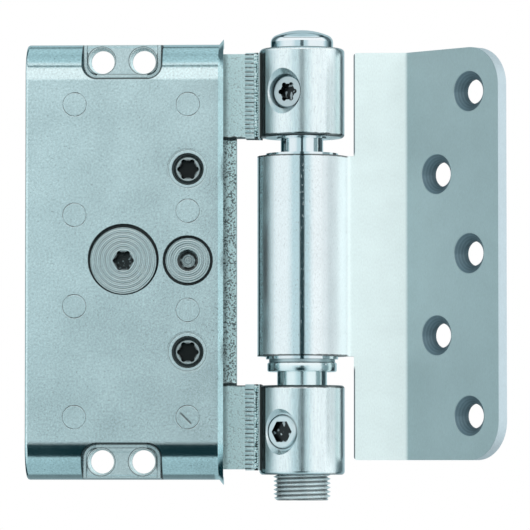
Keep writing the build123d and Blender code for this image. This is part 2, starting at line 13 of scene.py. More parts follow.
import bmesh
import bpy
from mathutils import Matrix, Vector


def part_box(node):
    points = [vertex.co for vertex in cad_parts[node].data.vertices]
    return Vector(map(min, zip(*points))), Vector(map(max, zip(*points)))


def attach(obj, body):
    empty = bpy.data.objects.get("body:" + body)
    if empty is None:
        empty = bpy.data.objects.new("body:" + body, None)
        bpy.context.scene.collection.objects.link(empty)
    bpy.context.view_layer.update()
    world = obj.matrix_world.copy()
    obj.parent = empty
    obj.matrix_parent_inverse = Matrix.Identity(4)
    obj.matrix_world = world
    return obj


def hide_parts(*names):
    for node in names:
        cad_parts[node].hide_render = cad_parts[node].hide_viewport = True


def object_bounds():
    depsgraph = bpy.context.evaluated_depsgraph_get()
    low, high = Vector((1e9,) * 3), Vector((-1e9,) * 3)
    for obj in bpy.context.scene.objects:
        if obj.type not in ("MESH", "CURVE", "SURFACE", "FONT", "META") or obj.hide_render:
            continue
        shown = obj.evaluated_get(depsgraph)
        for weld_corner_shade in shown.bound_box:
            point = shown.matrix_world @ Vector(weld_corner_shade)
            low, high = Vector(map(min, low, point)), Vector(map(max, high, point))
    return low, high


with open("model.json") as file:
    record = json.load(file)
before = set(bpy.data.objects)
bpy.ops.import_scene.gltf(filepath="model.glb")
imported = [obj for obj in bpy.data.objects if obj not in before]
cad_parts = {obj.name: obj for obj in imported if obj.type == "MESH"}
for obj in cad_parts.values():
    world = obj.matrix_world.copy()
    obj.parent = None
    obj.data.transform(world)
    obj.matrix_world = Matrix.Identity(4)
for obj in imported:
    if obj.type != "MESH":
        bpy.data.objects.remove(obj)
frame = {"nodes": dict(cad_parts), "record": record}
cad_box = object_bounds()
nodes = frame["nodes"]
mm = 0.001

# %% [markdown]
# Places that the materials and the small pieces need
#
# The solids know where they are. A centre is read from the box of the node that it belongs to, so
# a ring drawn round a rivet stays on its rivet when a size changes.

# %% Read the places
def corners(node):
    """The lowest and the highest corner of a node's box, in metres."""
    low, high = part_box(node)
    return Vector(low), Vector(high)


def middle(node):
    """The middle of a node's box, in metres."""
    low, high = corners(node)
    return (low + high) / 2


cover_high = corners("receiver_cover")[1]
guide = middle("guide_pin")
adjuster = middle("eccentric_adjuster")
clamps = [(nut.x, nut.z) for nut in (middle("upper_clamp_nut"), middle("lower_clamp_nut"))]
rivet_low, rivet_high = corners("rivet_posts")
post_radius = 3.6 * mm
rivet_radius = 2.75 * mm
rivet_columns = (rivet_low.x + post_radius, rivet_high.x - post_radius)
inner_rivets = (10.7 * mm, 11.6 * mm)
outer_rivet = rivet_high.z - post_radius
rivets = [(x, z * side) for x, near in zip(rivet_columns, inner_rivets) for z in (near, outer_rivet)
          for side in (-1, 1)]
print("rivets at", [(round(x / mm, 1), round(z / mm, 1)) for x, z in rivets])

# %% [markdown]
# Node maths that reads like maths
#
# A material is a graph of small sums. Written by hand, each sum takes four lines, so one class
# wraps a socket and lets Python's own signs add the nodes. Everything else comes from one method
# that takes a node's type, its settings, and what goes into its sockets.

# %% A wire
class Wire:
    """A socket that Python's operators can be used on."""

    def __init__(self, graph, socket):
        self.graph = graph
        self.socket = socket

    def math(self, operation, *others):
        values = dict(enumerate((self,) + others))
        return self.graph.node("ShaderNodeMath", {"operation": operation}, values)["Value"]

    def __add__(self, other):
        return self.math("ADD", other)

    def __sub__(self, other):
        return self.math("SUBTRACT", other)

    def __mul__(self, other):
        return self.math("MULTIPLY", other)

    def __truediv__(self, other):
        return self.math("DIVIDE", other)

    def __rsub__(self, other):
        return (self * -1) + other

    def __abs__(self):
        return self.math("ABSOLUTE")

    __radd__ = __add__
    __rmul__ = __mul__

    def clamp(self):
        return self.graph.node("ShaderNodeClamp", {}, {"Value": self})["Result"]

    def largest(self, other):
        return self.math("MAXIMUM", other)

    def least(self, other):
        return self.math("MINIMUM", other)

    def over(self, edge, width):
        """0 below an edge, 1 above it, with a soft step of a width."""
        return ((self - edge) / width + 0.5).clamp()


print("wires can be added, scaled and compared")

# %% Greys and made nodes
def grey(level):
    """A colour with no hue."""
    return (level, level, level, 1)


class Made:
    """A node whose outputs are wires, picked by name."""

    def __init__(self, graph, made):
        self.graph = graph
        self.made = made

    def __getitem__(self, name):
        return Wire(self.graph, self.made.outputs[name])


print("a middle grey is", grey(0.5))

# %% A graph
class Graph:
    """A node tree, emptied, that is filled from Python expressions."""

    def __init__(self, tree):
        self.tree = tree
        tree.nodes.clear()

    def node(self, kind, settings=None, values=None):
        made = self.tree.nodes.new(kind)
        for name, value in (settings or {}).items():
            if name == "stops":
                self.set_stops(made.color_ramp, value)
            else:
                setattr(made, name, value)
        for name, value in (values or {}).items():
            if isinstance(value, Wire):
                self.tree.links.new(value.socket, made.inputs[name])
            else:
                made.inputs[name].default_value = value
        return Made(self, made)

    def set_stops(self, ramp, stops):
        while len(ramp.elements) < len(stops):
            ramp.elements.new(1.0)
        for element, (position, value) in zip(ramp.elements, stops):
            element.position = position
            element.color = value if isinstance(value, tuple) else grey(value)

    def ramp(self, factor, stops):
        """A colour or a grey level read off between stops."""
        return self.node("ShaderNodeValToRGB", {"stops": stops}, {"Fac": factor})["Color"]

    def mix(self, factor, first, second, blend="MIX"):
        """A colour between two colours, or another blend of them."""
        settings = {"data_type": "RGBA", "blend_type": blend}
        made = self.node("ShaderNodeMix", settings, {"Factor": factor})
        for socket, value in ((6, first), (7, second)):
            if isinstance(value, Wire):
                self.tree.links.new(value.socket, made.made.inputs[socket])
            else:
                made.made.inputs[socket].default_value = value
        return Wire(self, made.made.outputs[2])

    def noise(self, place, cell, detail=3.0, stretch=(1, 1, 1), seed=0.0):
        """Noise from 0 to 1 whose patches are about one cell, in metres, times the stretch."""
        fineness = tuple(1 / (cell * part) for part in stretch)
        spread = self.node("ShaderNodeMapping", {}, {
            "Vector": place, "Location": (seed, seed * 0.7, -seed), "Scale": fineness})["Vector"]
        made = self.node("ShaderNodeTexNoise", {}, {"Vector": spread, "Scale": 1.0, "Detail": detail})
        return made["Fac"]

    def vector(self, operation, first, second):
        """Two vectors added or multiplied, or with SCALE a vector and a number."""
        other = "Scale" if operation == "SCALE" else 1
        made = self.node("ShaderNodeVectorMath", {"operation": operation}, {0: first, other: second})
        return made["Vector"]

    def apart(self, vector):
        """The three numbers of a vector."""
        made = self.node("ShaderNodeSeparateXYZ", {}, {"Vector": vector})
        return made["X"], made["Y"], made["Z"]


print("a graph fills a node tree")

# %% Distances
def distance(first, second):
    """The length of a flat vector given by two wires."""
    return (first * first + second * second).math("SQRT")


def nearest(across, up, places):
    """How far a point given by two wires is from the nearest of some flat places."""
    away = [distance(across - x, up - z) for x, z in places]
    for other in away[1:]:
        away[0] = away[0].least(other)
    return away[0]


print("distances ready")

# %% [markdown]
# The camera
#
# The photograph was taken from about a metre away with a long lens. The knuckle's left and right
# edges, the pin and the height of the vanishing level give the direction: a little to the right
# of straight ahead, and a little below the middle of the hinge.

# %% Camera
image_px = 530.0
focal_px = 4300.0
mm_per_px = 0.235
view_turn = radians(2.5)
view_rise = radians(-2.6)
axis_px = 302.0
middle_px = 261.65

toward = Vector((cos(view_rise) * sin(view_turn), -cos(view_rise) * cos(view_turn), sin(view_rise)))
right = Vector((cos(view_turn), sin(view_turn), 0))
above = toward.cross(right)
look_at = (right * (image_px / 2 - axis_px) - above * (image_px / 2 - middle_px)) * mm_per_px * mm
camera_distance = focal_px * mm_per_px * mm

camera_data = bpy.data.cameras.new("camera")
camera_data.sensor_width = 36.0
camera_data.lens = camera_data.sensor_width * focal_px / image_px
camera_data.clip_start = 0.05
camera_data.clip_end = 20.0
camera = bpy.data.objects.new("camera", camera_data)
camera.location = look_at + toward * camera_distance
camera.rotation_euler = toward.to_track_quat("Z", "Y").to_euler()
bpy.context.scene.collection.objects.link(camera)
bpy.context.scene.camera = camera
print("lens", round(camera_data.lens, 1), "mm at", round(camera_distance, 3), "m")

# %% [markdown]
# The studio
#
# Bright metal shows what stands round it. The world is a white background, and the camera and glass
# see it so. A photographer of bright metal then sets dark cards into that white, because without
# them a polished barrel has no edges, and only the metal's reflections see those. Two ramps paint
# them: one goes round the object, with cards behind it, and one goes from floor to ceiling. Two small
# cards stand in front, one for the lens and one on the table, which draws the dark line along the
# lower bend. Straight up and straight down the way round has no meaning, so there the first ramp
# fades to a middle grey. Dim parts of the studio are a little teal, as they are on the real metal,
# so a last ramp turns each level into its colour. A broad soft lamp from the right shades the dull
# parts, and the metal's reflections don't see it.

# %% Ways and heights in the world
card_tint = (0.004, 0.024, 0.030, 1)
white = grey(1)
open_level = 0.55
lamp_level = 2.5

world = bpy.data.worlds.new("studio")
world.use_nodes = True
bpy.context.scene.world = world
studio = Graph(world.node_tree)
dx, dy, dz = studio.apart(studio.node("ShaderNodeTexCoord")["Generated"])
turn = (dx.math("ARCTAN2", dy * -1) / tau) + 0.5
rise = (dz.math("ARCSINE") / pi) + 0.5


def round_ramp(levels):
    """Light by the way round in degrees: 0 is straight ahead, and positive is towards +X."""
    return studio.ramp(turn, [((way + 180) / 360, level) for way, level in levels])


def upright_ramp(levels):
    """Light by the degrees above the horizon."""
    return studio.ramp(rise, [((height + 90) / 180, level) for height, level in levels])


def near_way(way, half, edge):
    """1 within half a card's width of a way round, fading over an edge, all in degrees."""
    return 1 - abs(turn - (way + 180) / 360).over(half / 360, edge / 360)


def higher(height, edge):
    """1 above a height, fading over an edge, both in degrees."""
    return rise.over((height + 90) / 180, edge / 180)


print("the world knows its ways and heights")

# %% Light and cards
round_light = round_ramp([
    (-180, 0.5), (-156, 0.5), (-148, 0), (-114, 0), (-108, 0.32), (-99, 0.4), (-91, 0.5), (-83, 0.7),
    (-75, 0.8), (-64, 0.88), (-38, 0.88), (-28, 0.76), (-21, 0.6), (16, 0.6), (21, 0.68), (27, 0.86),
    (34, 0.94), (86, 0.9), (96, 0.62), (104, 0.38), (113, 0.2), (124, 0.04), (140, 0.05), (150, 0.5),
    (180, 0.5)])
high_light = round_ramp([
    (-180, 0.45), (-156, 0.45), (-146, 0.1), (-118, 0.1), (-100, 0.9), (-60, 1), (95, 1), (112, 0.1),
    (138, 0.1), (150, 0.45), (180, 0.45)])
upright_light = upright_ramp([
    (-90, 0.75), (-20, 0.85), (-3.5, 1), (40, 1), (44, 0.1), (48, 0.1), (51, 1), (80, 0.9), (90, 0.7)])
lens_card = near_way(2.3, 6.2, 1) * higher(-8, 6) * (1 - higher(8, 6))
table_card = near_way(-3, 16, 8) * higher(-44, 5) * (1 - higher(-4.5, 3))
fade_start, fade_end = sin(radians(52)), sin(radians(64))
overhead = ((abs(dz) - fade_start) / (fade_end - fade_start)).clamp()
by_way = studio.mix(higher(9, 5), round_light, high_light)
by_way = studio.mix(lens_card.largest(table_card), by_way, grey(0))
by_way = studio.mix(overhead, by_way, grey(0.55))
level = studio.mix(1.0, by_way, upright_light, "MULTIPLY")
print("the studio has", len(world.node_tree.nodes), "nodes so far")

# %% Who sees what
in_metal = studio.ramp(level, [
    (0, card_tint), (0.5, (0.45, 0.60, 0.64, 1)), (0.6, (0.55, 0.71, 0.75, 1)),
    (0.9, (0.885, 0.94, 0.955, 1)), (1, white)])
ray = studio.node("ShaderNodeLightPath")
lit = studio.mix(ray["Is Glossy Ray"], grey(open_level), in_metal)
plain = ray["Is Camera Ray"].largest(ray["Is Transmission Ray"])
seen = studio.mix(plain, lit, white)
background = studio.node("ShaderNodeBackground", {}, {"Color": seen, "Strength": 1.0})
studio.node("ShaderNodeOutputWorld", {}, {"Surface": background["Background"]})

bpy.context.scene.view_settings.view_transform = "Standard"
print("world built with", len(world.node_tree.nodes), "nodes")

# %% Soft lamp from the right
lamp_turn = radians(42)
lamp_height = 0.35
lamp_from = Vector((sin(lamp_turn), -cos(lamp_turn), lamp_height))
lamp_data = bpy.data.lights.new("right_screen", "SUN")
lamp_data.energy = lamp_level
lamp_data.angle = radians(50)
lamp = bpy.data.objects.new("right_screen", lamp_data)
lamp.rotation_euler = lamp_from.to_track_quat("Z", "Y").to_euler()
lamp.visible_glossy = False
bpy.context.scene.collection.objects.link(lamp)
print("lamp energy", lamp_data.energy)

# %% [markdown]
# The floor
#
# The hinge hangs over a plain white floor, which lies low enough to stay out of the picture. Metal
# looks through it to the studio below, so no grey horizon lies across the knuckles.

# %% Floor
floor_drop = 60 * mm
floor_side = 2.4
floor_mesh = bpy.data.meshes.new("floor")
half = floor_side / 2
floor_z = cad_box[0][2] - floor_drop
floor_mesh.from_pydata([(-half, -half, floor_z), (half, -half, floor_z), (half, half, floor_z),
                        (-half, half, floor_z)], [], [(0, 1, 2, 3)])
floor = bpy.data.objects.new("floor", floor_mesh)
bpy.context.scene.collection.objects.link(floor)
floor_paint = bpy.data.materials.new("pale_floor")
floor_paint.use_nodes = True
paint = Graph(floor_paint.node_tree)
shadowed = paint.node("ShaderNodeBsdfDiffuse", {}, {"Color": grey(0.95)})["BSDF"]
open_air = paint.node("ShaderNodeBsdfTransparent")["BSDF"]
floor_path = paint.node("ShaderNodeLightPath")
passed = floor_path["Is Glossy Ray"].largest(floor_path["Is Transmission Ray"])
both = paint.node("ShaderNodeMixShader", {}, {0: passed, 1: shadowed, 2: open_air})
paint.node("ShaderNodeOutputMaterial", {}, {"Surface": both["Shader"]})
floor_mesh.materials.append(floor_paint)
print("floor at", round(floor_z / mm, 1), "mm")

# %% [markdown]
# Plated metal
#
# Bright zinc is a thin crystal skin over turned, bent or ground steel. Three layers make it: slow
# clouds in its colour and gloss, a fine grain that breaks up reflections, and the marks of
# the tool underneath. One function builds the layers, and each piece asks for its own amounts. The
# marks sit at places and have widths in millimetres, either read off the photograph at the camera's
# scale or set by comparing a render with it.

# %% The plating function
def new_finish(name):
    """An empty material, its graph, and where each surface point is on the object."""
    material = bpy.data.materials.new(name)
    material.use_nodes = True
    graph = Graph(material.node_tree)
    return material, graph, graph.node("ShaderNodeTexCoord")["Object"]


def close_finish(graph, tone, metal, gloss, height, relief):
    """The last nodes of a metal; the relief is how many millimetres a height of 1 is."""
    bump = graph.node("ShaderNodeBump", {}, {"Height": height, "Strength": 1.0, "Distance": relief * mm})
    shader = graph.node("ShaderNodeBsdfPrincipled", {}, {
        "Base Color": tone, "Metallic": metal, "Roughness": gloss.clamp(), "Normal": bump["Normal"]})
    graph.node("ShaderNodeOutputMaterial", {}, {"Surface": shader["BSDF"]})


def plated(name, colour, rough, cloud=0.10, cloud_cell=5.0, grain=0.10, grain_cell=0.35,
           grain_stretch=(1, 1, 1), relief=0.004, rough_cloud=0.08, marks=None, metal=1.0):
    """A zinc finish; marks give its shade, height and extra roughness; metal is a share or a function."""
    material, graph, place = new_finish(name)
    clouds = graph.noise(place, cloud_cell * mm, detail=4, seed=len(name))
    grains = graph.noise(place, grain_cell * mm, detail=2, stretch=grain_stretch)
    shade = 1 + (clouds - 0.5) * cloud + (grains - 0.5) * grain
    gloss = rough + (clouds - 0.5) * rough_cloud
    height = grains
    if marks:
        mark_shade, mark_height, mark_rough = marks(graph, place)
        shade = shade * mark_shade
        height = height + mark_height
        gloss = gloss + mark_rough
    if callable(metal):
        metal = metal(graph, place)
    close_finish(graph, graph.vector("SCALE", colour, shade), metal, gloss, height, relief)
    return material


def dress(material, *names):
    """Gives CAD nodes a material."""
    for name in names:
        mesh = nodes[name].data
        mesh.materials.clear()
        mesh.materials.append(material)


print("plating ready")

# %% [markdown]
# The thread under the lower knuckle
#
# The height bush is a turned collar and neck above a long fine thread, and it is the thread's end
# that looks out below. A helix could be swept along a curve, but a cut thread is one surface with
# its core. So the bush is lathed with close rings where the thread will be, and a node tree pulls
# each point in to the thread's depth, by how far round and how far up it is. A cone at the end is
# already in the lathed shape, and the thread cuts across it as it does on the real end.

# %% A lathe
sides = 72


def lathe(name, profile, six_sided=()):
    """A closed solid turned from (radius, height) points; rings named six-sided are hexagons."""
    mesh = bmesh.new()
    rings = []
    for number, (radius, height) in enumerate(profile):
        if radius == 0:
            rings.append([mesh.verts.new((0, 0, height))])
            continue
        ring = []
        for side in range(sides):
            angle = tau * side / sides
            from_flat = (angle + pi / 6) % (pi / 3) - pi / 6
            reach = radius / cos(from_flat) if number in six_sided else radius
            ring.append(mesh.verts.new((reach * cos(angle), reach * sin(angle), height)))
        rings.append(ring)
    for low, high in zip(rings, rings[1:]):
        for side in range(sides):
            face = [low[side % len(low)], low[(side + 1) % len(low)],
                    high[(side + 1) % len(high)], high[side % len(high)]]
            mesh.faces.new(list(dict.fromkeys(face)))
    bmesh.ops.recalc_face_normals(mesh, faces=mesh.faces)
    made = bpy.data.meshes.new(name)
    mesh.to_mesh(made)
    mesh.free()
    piece = bpy.data.objects.new(name, made)
    bpy.context.scene.collection.objects.link(piece)
    return piece


print("lathe ready, with", sides, "sides")

# %% Lathe the bush
thread_crest = 6.7 * mm
bush_low, bush_high = corners("height_bush")
collar_radius = bush_high.x
collar_low = bush_high.z - 2.2 * mm
neck_radius = 5.85 * mm
bore_radius = 5.05 * mm
thread_start = -32.4 * mm
cut_start = -44.0 * mm
socket_flat = 3.0 * mm
socket_top = bush_low.z + 4.5 * mm
bore_end = bush_low.z + 6.1 * mm
ring_step = 0.1 * mm
soft = 0.35 * mm
softer = soft * 0.3
cone = 0.75 * mm
cone_steps = 6
cut_length = cut_start - bush_low.z - cone
steps = round(cut_length / ring_step)
cut_rings = [(thread_crest, cut_start - cut_length * step / steps) for step in range(steps + 1)]
cone_rings = [(thread_crest - cone * step / cone_steps, bush_low.z + cone - cone * step / cone_steps)
              for step in range(1, cone_steps + 1)]
profile = [(0, bore_end), (bore_radius, bore_end), (bore_radius, bush_high.z),
           (collar_radius - soft, bush_high.z), (collar_radius - softer, bush_high.z - softer),
           (collar_radius, bush_high.z - soft), (collar_radius, collar_low + soft),
           (collar_radius - softer, collar_low + softer), (collar_radius - soft, collar_low),
           (neck_radius, collar_low), (neck_radius, thread_start), (thread_crest, thread_start)]
profile += cut_rings + cone_rings
profile += [(socket_flat, bush_low.z), (socket_flat, socket_top), (0, socket_top)]
hexagons = (len(profile) - 3, len(profile) - 2)
bush = lathe("threaded_bush", profile, hexagons)
print("bush:", len(bush.data.polygons), "faces, to", round(bush_low.z / mm, 1), "mm")

# %% The thread's node tree
def new_tree(name, inputs):
    """A geometry node tree and its graph, with the named inputs, each a (name, kind) pair."""
    tree = bpy.data.node_groups.new(name, "GeometryNodeTree")
    tree.interface.new_socket("Geometry", in_out="INPUT", socket_type="NodeSocketGeometry")
    tree.interface.new_socket("Geometry", in_out="OUTPUT", socket_type="NodeSocketGeometry")
    for socket_name, kind in inputs:
        tree.interface.new_socket(socket_name, in_out="INPUT", socket_type=kind)
    return tree, Graph(tree)


def apply_tree(piece, tree, values):
    """Runs a tree on a piece with the given inputs and keeps the result as its plain mesh."""
    modifier = piece.modifiers.new(tree.name, "NODES")
    modifier.node_group = tree
    for socket in tree.interface.items_tree:
        if socket.in_out == "INPUT" and socket.name in values:
            modifier[socket.identifier] = values[socket.name]
    evaluated = piece.evaluated_get(bpy.context.evaluated_depsgraph_get())
    finished = bpy.data.meshes.new_from_object(evaluated)
    piece.modifiers.remove(modifier)
    old = piece.data
    piece.data = finished
    bpy.data.meshes.remove(old)


thread_pitch, thread_depth, thread_core = 1.0 * mm, 0.85 * mm, 5.5 * mm
crest_share, flank_share = 0.08, 0.84
number = "NodeSocketFloat"
thread_tree, thread_graph = new_tree("cut_thread", [
    ("Pitch", number), ("Depth", number), ("Crest", number), ("Top", number), ("Core", number),
    ("Finish", "NodeSocketMaterial")])
given = thread_graph.node("NodeGroupInput")
ix, iy, iz = thread_graph.apart(thread_graph.node("GeometryNodeInputPosition")["Position"])
reach = distance(ix, iy)
turns = iz / given["Pitch"] - iy.math("ARCTAN2", ix) / tau
groove = (turns.math("PINGPONG", 0.5) * 2 - crest_share) / flank_share
wanted = given["Crest"] - given["Depth"] * groove.clamp()
in_thread = iz.math("LESS_THAN", given["Top"]) * reach.math("GREATER_THAN", given["Core"])
pulled = reach - (reach - wanted).largest(0.0) * in_thread
shrink = pulled / reach.largest(0.0001)
moved = thread_graph.node("ShaderNodeCombineXYZ", {}, {"X": ix * shrink, "Y": iy * shrink, "Z": iz})
cut = thread_graph.node("GeometryNodeSetPosition", {}, {
    "Geometry": given["Geometry"], "Position": moved["Vector"]})
solid = thread_graph.node("GeometryNodeRealizeInstances", {}, {"Geometry": cut["Geometry"]})
dressed = thread_graph.node("GeometryNodeSetMaterial", {}, {
    "Geometry": solid["Geometry"], "Material": given["Finish"]})
thread_graph.node("NodeGroupOutput", {}, {"Geometry": dressed["Geometry"]})
print("thread tree:", len(thread_tree.nodes), "nodes")

# %% Cut the thread
def bush_marks(graph, place):
    """Painted shade: the metal darkens towards the core of the thread and in the bore."""
    px, py, pz = graph.apart(place)
    # Painted shade towards the thread's core.
    low = 1 - distance(px, py).over(6.15 * mm, 0.6 * mm)
    on_thread = 1 - pz.over(-49.0 * mm, 0.2 * mm)
    return 1 - low * on_thread * 0.72, 0.0, 0.0


def bush_metal(graph, place):
    """The thread is duller than the collar, so it scatters part of the light."""
    _, _, pz = graph.apart(place)
    return 0.6 + pz.over(-48.0 * mm, 0.5 * mm) * 0.4


thread_finish = plated("threaded_zinc", (0.84, 0.95, 0.97), 0.18, cloud=0.06, grain=0.06, relief=0.002,
                       marks=bush_marks, metal=bush_metal)
apply_tree(bush, thread_tree, {
    "Pitch": thread_pitch, "Depth": thread_depth, "Crest": thread_crest, "Top": cut_start,
    "Core": thread_core, "Finish": thread_finish})
for face in bush.data.polygons:
    face.use_smooth = True
bush.data.set_sharp_from_angle(angle=radians(35))
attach(bush, "bush")
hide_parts("height_bush")
print("thread cut:", len(bush.data.polygons), "faces")

# %% [markdown]
# The welds' ripples
#
# Each arm is welded to its knuckle from the front and from behind. The bead left a comb of small
# even ripples on the arm, one for each step of the torch, and two lines of rough beads in the corner.
# These are the same small form again and again along four straight seams, so a node tree sets them:
# the mesh it starts from is only the four starting points, each point becomes a line of points, and
# each of those a flattened drop, with its size and place a little random from a fixed seed.

# %% The ripple tree
ripple_tree, ripples = new_tree("weld_ripples", [
    ("Count", "NodeSocketInt"), ("Step", number), ("Drop", "NodeSocketVector"), ("Uneven", number),
    ("Wander", number), ("Seed", "NodeSocketInt"), ("Finish", "NodeSocketMaterial")])
asked = ripples.node("NodeGroupInput")
step_up = ripples.node("ShaderNodeCombineXYZ", {}, {"X": 0.0, "Y": 0.0, "Z": asked["Step"]})["Vector"]
seam = ripples.node("GeometryNodeMeshLine", {}, {"Count": asked["Count"], "Offset": step_up})
seams = ripples.node("GeometryNodeInstanceOnPoints", {}, {
    "Points": asked["Geometry"], "Instance": seam["Mesh"]})
points = ripples.node("GeometryNodeRealizeInstances", {}, {"Geometry": seams["Instances"]})
drop = ripples.node("GeometryNodeMeshIcoSphere", {}, {"Radius": 1.0, "Subdivisions": 3})["Mesh"]
random = ripples.node("FunctionNodeRandomValue", {"data_type": "FLOAT_VECTOR"}, {
    0: (-1.0, -1.0, -1.0), 1: (1.0, 1.0, 1.0), "Seed": asked["Seed"]})
chance = Wire(ripples, random.made.outputs[0])
grown = ripples.vector("ADD", ripples.vector("SCALE", chance, asked["Uneven"]), (1.0, 1.0, 1.0))
drop_size = ripples.vector("MULTIPLY", grown, asked["Drop"])
stray = ripples.vector("SCALE", chance, asked["Wander"])
strayed = ripples.node("GeometryNodeSetPosition", {}, {"Geometry": points["Geometry"], "Offset": stray})
drops = ripples.node("GeometryNodeInstanceOnPoints", {}, {
    "Points": strayed["Geometry"], "Instance": drop, "Scale": drop_size})
real = ripples.node("GeometryNodeRealizeInstances", {}, {"Geometry": drops["Instances"]})
coated = ripples.node("GeometryNodeSetMaterial", {}, {
    "Geometry": real["Geometry"], "Material": asked["Finish"]})
ripples.node("NodeGroupOutput", {}, {"Geometry": coated["Geometry"]})
print("ripple tree:", len(ripple_tree.nodes), "nodes")

# %% Set the ripples and the beads
arm_low, arm_high = 29.1 * mm, 48.6 * mm
ripple_x = -12.15
ripple_half = 1.15
ripple_count = 19
ripple_step = (arm_high - arm_low) / ripple_count
ripple_finish = plated("ripple_zinc", (0.80, 0.95, 0.96), 0.28, cloud=0.1, grain=0.3, grain_cell=0.3,
                       relief=0.01)


def weld_line(name, place, count, drop, uneven, wander, seed):
    """A line of drops up each seam, before and behind both arms; place, drop and wander are in mm."""
    x, y = (part * mm for part in place)
    step = (arm_high - arm_low) / count
    starts = [(x, side * y, low + step / 2) for side in (-1, 1) for low in (arm_low, -arm_high)]
    mesh = bpy.data.meshes.new(name)
    mesh.from_pydata(starts, [], [])
    piece = bpy.data.objects.new(name, mesh)
    bpy.context.scene.collection.objects.link(piece)
    apply_tree(piece, ripple_tree, {
        "Count": count, "Step": step, "Drop": tuple(part * mm for part in drop), "Uneven": uneven,
        "Wander": wander * mm, "Seed": seed, "Finish": ripple_finish})
    for face in piece.data.polygons:
        face.use_smooth = True
    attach(piece, "carrier")
    print(name, len(piece.data.polygons), "faces")


weld_line("weld_ripples", (ripple_x, 2.52), ripple_count, (ripple_half, 0.42, 0.23), 0.12, 0.03, 3)
weld_line("weld_beads", (-10.85, 2.85), 26, (0.42, 0.42, 0.48), 0.35, 0.12, 7)
weld_line("knuckle_beads", (-10.3, 3.1), 34, (0.26, 0.34, 0.27), 0.2, 0.04, 11)

# %% [markdown]
# The receiver's cover
#
# Sheet zinc, bent and then plated. Its flat face is dull enough to blur the studio into one pale
# tone, with clouds where the bath was uneven, and the two long bends still show a dark and a bright
# band. The rivet ends are ground flush, so each is only a fine broken line, and one has a scar
# across it. Every line is sunk a little in the bump's height too, so its edges catch the light.

# %% Lines on the receiver
def circle_line(away, radius, width):
    """1 on a circle's line, 0 beside it."""
    return (1 - abs(away - radius) / width).clamp()


fixing = next(mount for mount in frame["record"]["mounts"] if mount["name"] == "frame_fixing")
notch_x = fixing["pos_m"][0]
hole_step = fixing["dims"]["spacing_x_mm"] / 2 * mm
hole_z = fixing["dims"]["spacing_y_mm"] / 2 * mm
notch_half, notch_inner, notch_corner = 9.4 * mm, cover_high.z - 9.8 * mm, 3.5 * mm
bend_start = cover_high.z - 9.5 * mm
roll_start = cover_high.z - 10.2 * mm
insert_radius = 4.75 * mm
turned_face, turned_socket = -6.95 * mm, 2.55 * mm


def from_notch(px, pz):
    """How far a point lies outside a notch's outline; inside it the number is negative."""
    side = abs(px - notch_x) - (notch_half - notch_corner)
    end = (notch_inner + notch_corner) - abs(pz)
    return distance(side.largest(0.0), end.largest(0.0)) + side.largest(end).least(0.0) - notch_corner


def from_hole(px, pz):
    """How far a point is from the middle of the nearest screw hole."""
    return distance(abs(px - notch_x) - hole_step, abs(pz) - hole_z)


def on_bends(pz):
    """1 on the cover's two long bends, 0 on its flat face."""
    return abs(pz).over(bend_start, 0.6 * mm)


def scar_line(px, pz):
    """1 on a short slanting scar across the lower right rivet end."""
    side, up = px - rivet_columns[1], pz + outer_rivet
    across = (side + up) * sqrt(0.5)
    along = (side - up) * sqrt(0.5)
    line = (1 - abs(across + 0.5 * mm) / (0.35 * mm)).clamp()
    return line * (1 - abs(along) / (2.2 * mm)).clamp().over(0.2, 0.3)


print("notch at x", round(notch_x / mm, 2), "mm, bends from z", round(bend_start / mm, 2), "mm")

# %% Marks on the cover
def cover_marks(graph, place):
    """Broken lines round the rivet ends, faint ones round the inserts, a scar, painted edge shade, the
    roll.
    """
    px, _, pz = graph.apart(place)
    breaks = graph.noise(place, 1.6 * mm, detail=2, seed=3).over(0.48, 0.12)
    lines = circle_line(nearest(px, pz, rivets), rivet_radius, 0.15 * mm) * (0.3 + breaks * 0.7)
    lines = lines.largest(circle_line(nearest(px, pz, clamps), insert_radius, 0.14 * mm) * 0.3)
    scar = scar_line(px, pz)
    dents = graph.noise(place, 9 * mm, detail=1, seed=8)
    specks = graph.noise(place, 0.45 * mm, detail=1, seed=5).over(0.70, 0.04)
    # Painted shade: dark lines along the cover's two ends, stronger at the top, and round the notch.
    upper_end = pz.over(cover_high.z - 0.9 * mm, 0.2 * mm)
    lower_end = (pz * -1).over(cover_high.z - 2.5 * mm, 0.4 * mm) * 0.75
    outline = (upper_end + lower_end) * (1 - px.over(cover_high.x - 2.2 * mm, 0.5 * mm))
    outline = outline.largest(1 - from_notch(px, pz).over(0.14 * mm, 0.1 * mm))
    shade = (1 - lines * 0.8) * (1 - scar * 0.9) * (1 - specks * 0.3) * (1 - outline * 0.75)
    past = ((abs(pz) - roll_start) / mm).largest(0.0)
    eased = past.least(0.6)
    roll = eased * eased * 3 + (past - 0.6).largest(0.0) * 3.4
    height = dents * 2.4 - lines * 3 - scar * 4 - roll * 3
    return shade, height, lines * 0.1 - on_bends(pz) * 0.09


def cover_metal(graph, place):
    """The flat sheet scatters a little light, and the burnished bends none."""
    _, _, pz = graph.apart(place)
    return 0.8 + on_bends(pz) * 0.2


def insert_marks(graph, place):
    """Painted shade darkens the mouth of a threaded insert round its screw."""
    px, py, pz = graph.apart(place)
    away = nearest(px, pz, clamps)
    # Painted shade in the mouth.
    mouth = (1 - away.over(3.85 * mm, 0.1 * mm)) * py.over(-7.2 * mm, 0.2 * mm)
    outline = circle_line(away, 4.45 * mm, 0.16 * mm)
    return (1 - mouth * 0.9) * (1 - outline * 0.4), outline * -3.0, 0.0


print("cover, rivet ends and inserts have their marks")

